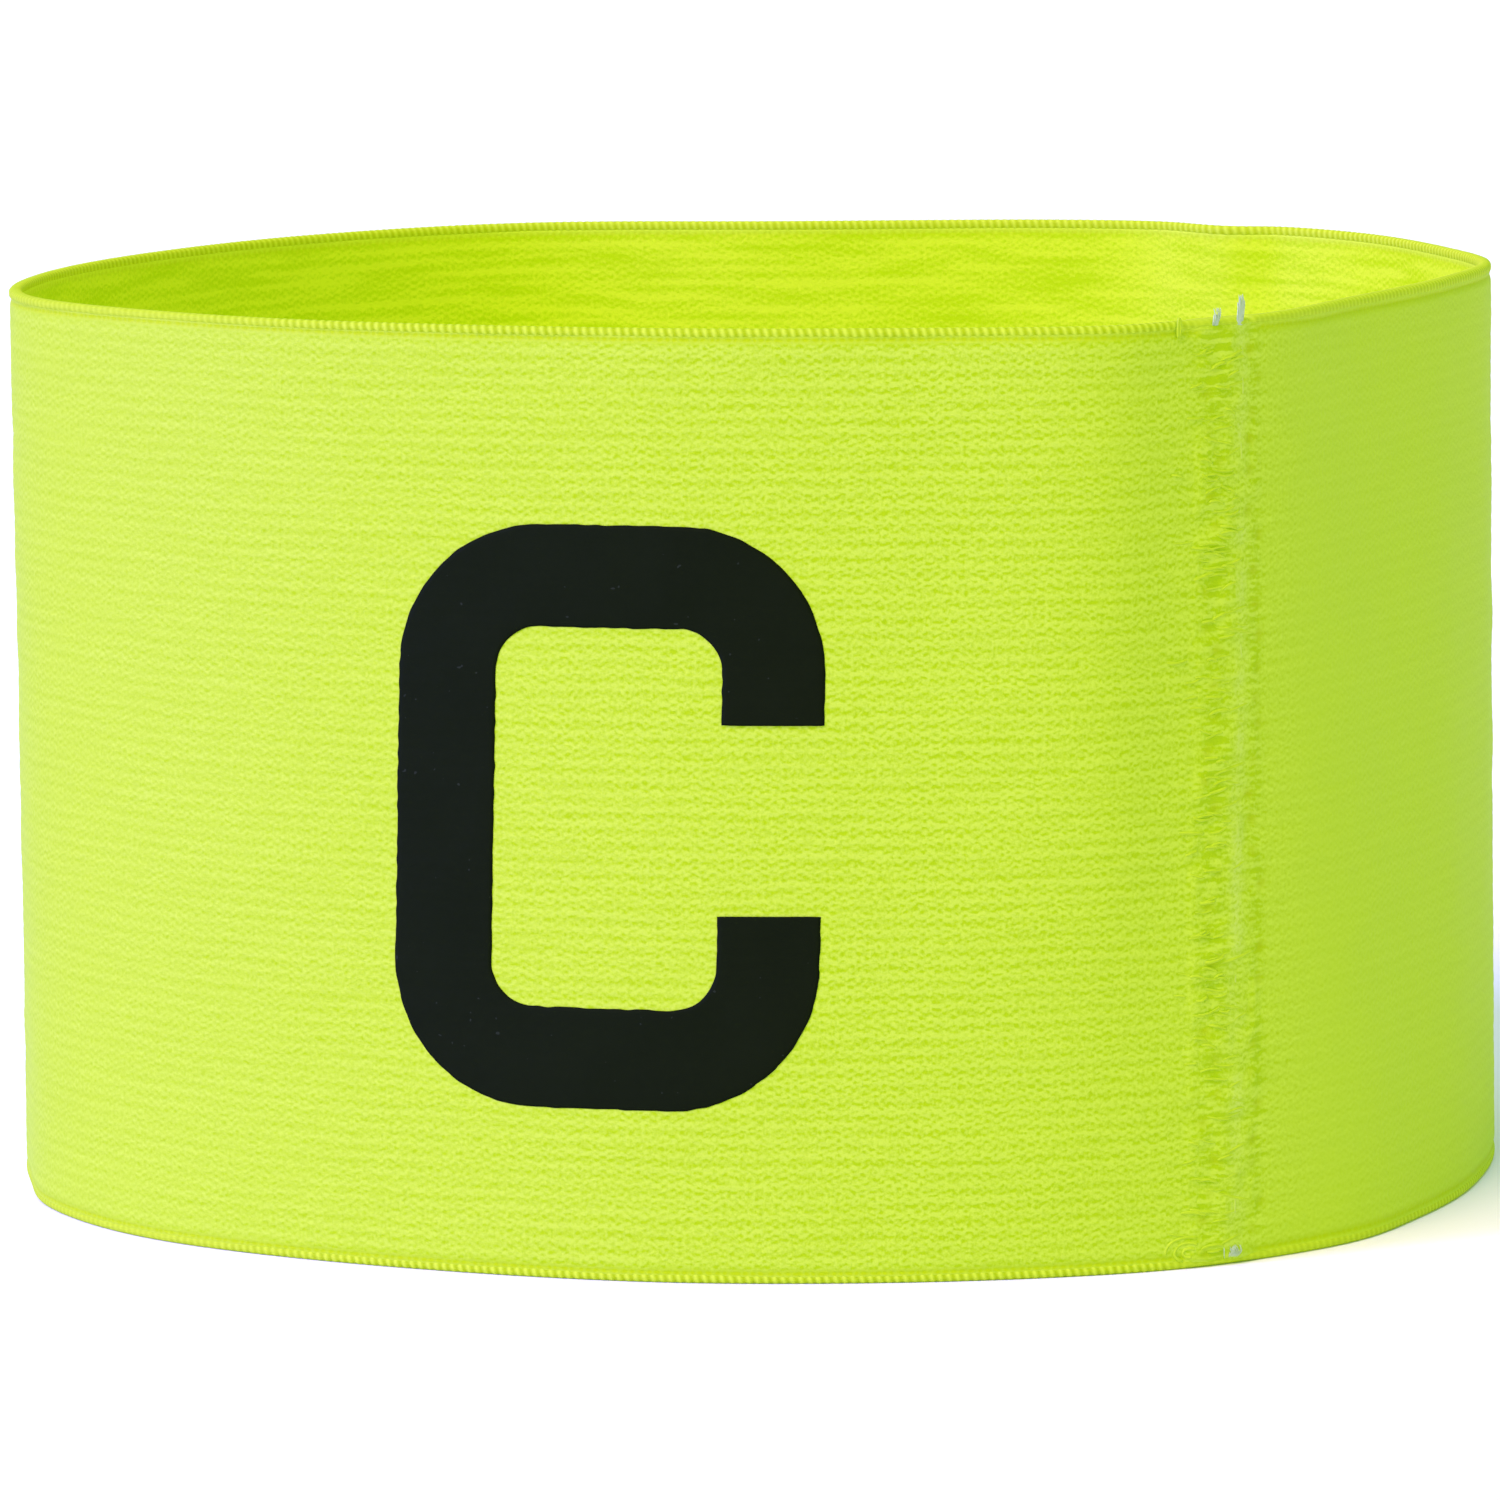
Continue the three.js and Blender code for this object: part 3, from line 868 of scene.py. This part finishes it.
def film_material():
    material = bpy.data.materials.new("pressed_film")
    nodes = Nodes(material)
    place = nodes.place()
    grain = nodes.noise(place, 1400, 1.0)
    colour = nodes.mix(nodes.noise(place, 160, 2.0), FILM.dark, FILM.light)
    speck = nodes.math("GREATER_THAN", nodes.noise(place, 2600, 0.0), 0.85)
    colour = nodes.mix(nodes.math("MULTIPLY", speck, 0.2), colour, SPECK_COLOUR)
    nodes.shader(Base_Color=colour, Normal=nodes.bump(grain, 0.02 * MM))
    nodes.shader(Roughness=nodes.scaled(grain, 0.25, 0.55), Specular_IOR_Level=0.03)
    return material


def floor_material():
    material = bpy.data.materials.new("floor_paper")
    nodes = Nodes(material)
    colour = nodes.mix(nodes.noise(nodes.place(), 40, 0.0), FLOOR.dark, FLOOR.light)
    nodes.shader(Base_Color=colour, Roughness=0.9, Specular_IOR_Level=0.0)
    return material


# Stage: floor, light and camera

def make_floor():
    corners = [(x * FLOOR_REACH, y * FLOOR_REACH, 0) for x, y in ((-1, -1), (1, -1), (1, 1), (-1, 1))]
    floor = new_object("floor", corners, [[0, 1, 2, 3]], floor_material())


def left_box():
    light = bpy.data.lights.new("left_box", "AREA")
    light.size = LEFT_BOX_SIZE
    light.energy = 1.0
    light.color = LEFT_BOX_COLOUR
    box = bpy.data.objects.new("left_box", light)
    box.location = LEFT_BOX_PLACE
    box.rotation_euler = (-Vector(LEFT_BOX_PLACE)).to_track_quat("-Z", "Y").to_euler()
    bpy.context.scene.collection.objects.link(box)


def soft_sun(sun):
    """Even light from a round patch of sky."""
    light = bpy.data.lights.new(sun.name, "SUN")
    light.energy = 1.0
    light.color = sun.colour
    light.angle = math.radians(sun.angle)
    patch = bpy.data.objects.new(sun.name, light)
    patch.rotation_euler = (-Vector(sun.toward)).to_track_quat("-Z", "Y").to_euler()
    bpy.context.scene.collection.objects.link(patch)


def make_world():
    """Soft light from all round, which changes evenly from the dim side's colour to the bright side's."""
    world = bpy.data.worlds.new("studio")
    nodes = Nodes(world)
    way = nodes.add("ShaderNodeTexCoord").outputs["Generated"]
    inputs = {0: way, 1: Vector(SKY_BRIGHT_WAY).normalized()}
    toward = nodes.add("ShaderNodeVectorMath", inputs, operation="DOT_PRODUCT").outputs["Value"]
    share = nodes.scaled(toward, 0.5, 0.5)
    nodes.feed(nodes.tree.nodes["Background"], "Color", nodes.mix(share, (*SKY_DIM, 1), (*SKY_BRIGHT, 1)))
    bpy.context.scene.world = world


def make_camera():
    data = bpy.data.cameras.new("camera")
    data.lens = LENS_MM
    data.sensor_width = SENSOR_MM
    data.clip_start, data.clip_end = 0.01, 100
    camera = bpy.data.objects.new("camera", data)
    forward = (AIM - EYE).normalized()
    level = forward.cross(Vector((0, 0, 1))).normalized()
    upward = level.cross(forward)
    right = level * math.cos(CAMERA_ROLL) - upward * math.sin(CAMERA_ROLL)
    top = level * math.sin(CAMERA_ROLL) + upward * math.cos(CAMERA_ROLL)
    camera.matrix_world = Matrix.Translation(EYE) @ Matrix((right, top, -forward)).transposed().to_4x4()
    bpy.context.scene.collection.objects.link(camera)
    bpy.context.scene.camera = camera


bpy.context.scene.view_settings.view_transform = "Standard"
bpy.context.scene.view_settings.look = "None"
make_camera()
make_floor()
make_world()
left_box()
for sun in SUNS:
    soft_sun(sun)

elastic = elastic_material()
bead = bead_material()
yellow_thread = thread_material("fluorescent_thread", YELLOW_THREAD, PAINTED_GLOW)
pale_thread = thread_material("pale_thread", PALE_THREAD, PAINTED_GLOW)
cut_thread = thread_material("cut_thread", CUT_THREAD, PAINTED_PALE_GLOW)

strip = elastic_strip(elastic)
upper_bead = edge_bead("upper_bead", True, bead, 61)
lower_bead = edge_bead("lower_bead", False, bead, 62)
zigzag = thread_object("lap_zigzag", zigzag_threads() + [arc_thread(arc) for arc in ARCS], yellow_thread)
strands = thread_object("pulled_strands", pulled_strands(PULLED_STRANDS), yellow_thread)
stitches = thread_object("seam_stitches", sunk_stitches(), pale_thread)
tufts = thread_object("cut_tufts", [thread for tuft in TUFTS for thread in tuft_threads(tuft)], cut_thread)
letter = film_letter(film_material())

for piece, slot in (
    (strip, "elastic"),
    (upper_bead, "elastic"),
    (lower_bead, "elastic"),
    (zigzag, "thread"),
    (strands, "elastic"),
    (stitches, "thread"),
    (tufts, "thread"),
    (letter, "film"),
):
    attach(piece, "root")
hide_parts("elastic_band")
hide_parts("printed_letter")
